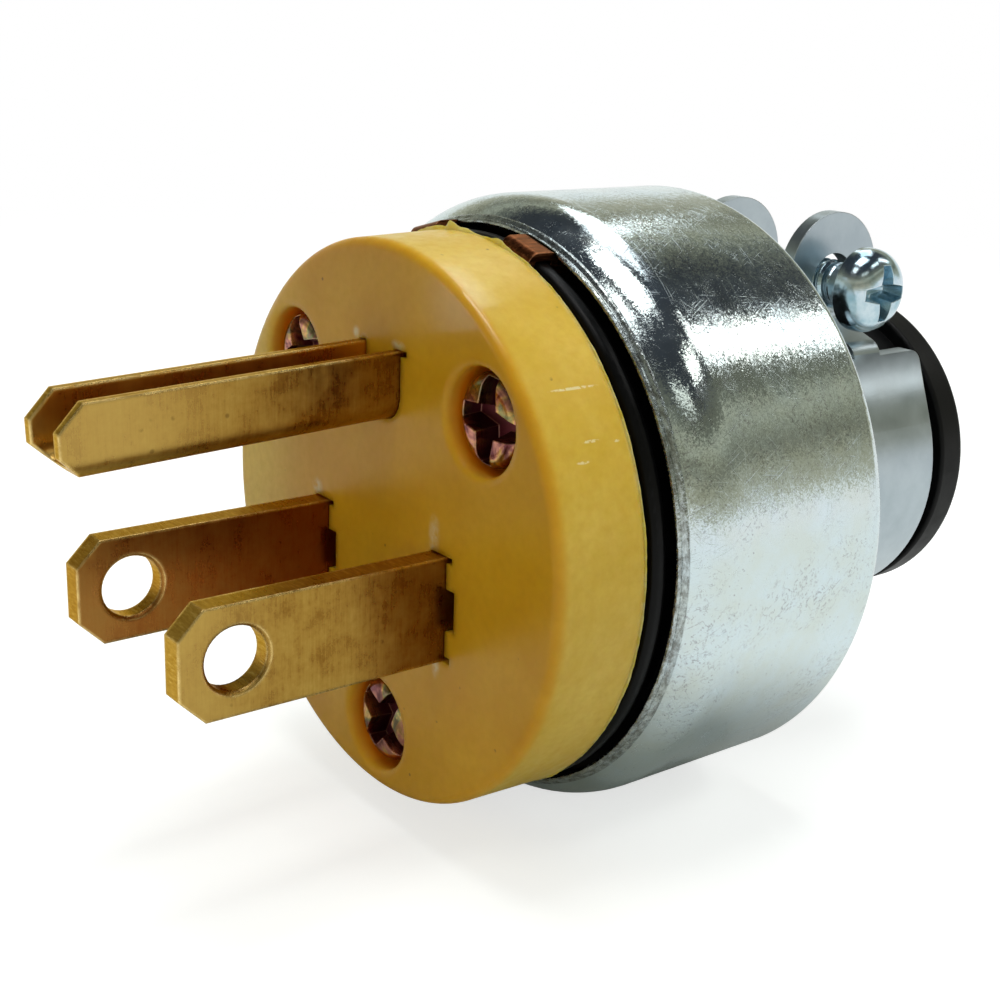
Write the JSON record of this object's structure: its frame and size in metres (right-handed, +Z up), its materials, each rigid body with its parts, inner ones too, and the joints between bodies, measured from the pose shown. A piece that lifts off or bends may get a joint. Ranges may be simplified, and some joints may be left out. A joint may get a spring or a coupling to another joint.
{
  "type": "polarized plug",
  "caption": "Wiring plug with flat blades and a folded ground pin in a yellow face, a round zinc-plated steel shell and a screwed strap clamp on a black cord bushing.",
  "frame": {"origin": "on the plug's axis, in the plane of the front face that the blades stand out of", "axes": "+Y from the blades towards the cord entry, +Z up towards the ground pin, +X to the right when looking at the blades' tips"},
  "size_m": [0.0386, 0.0629, 0.0386],
  "materials": {
    "yellow_plastic": "mustard yellow moulding, slightly translucent",
    "black_plastic": "black moulding",
    "black_bushing": "soft black",
    "carrier_plastic": "dark moulding",
    "blade_brass": "brushed brass sheet",
    "strap_copper": "copper sheet",
    "shell_steel": "worn zinc plating",
    "clamp_steel": "bright zinc plating",
    "screw_steel": "bright blue zinc plating",
    "face_screw_steel": "yellow chromate plating",
    "inner_steel": "zinc plated"
  },
  "bodies": {
    "root": {"front_face": "yellow_plastic", "line_blade": "blade_brass", "neutral_blade": "blade_brass", "ground_pin": "blade_brass", "ground_strap": "strap_copper", "terminal_carrier": "carrier_plastic", "body_liner": "black_plastic", "shell": "shell_steel", "cord_bushing": "black_bushing", "cord_clamp": "clamp_steel", "clamp_screw": "screw_steel", "clamp_nut": "screw_steel", "face_screws": "face_screw_steel", "face_screw_nuts": "inner_steel", "line_terminal_screw": "inner_steel", "line_wire_clamp": "inner_steel", "neutral_terminal_screw": "inner_steel", "neutral_wire_clamp": "inner_steel", "ground_terminal_screw": "inner_steel", "ground_wire_clamp": "inner_steel"}
  },
  "joints": []
}
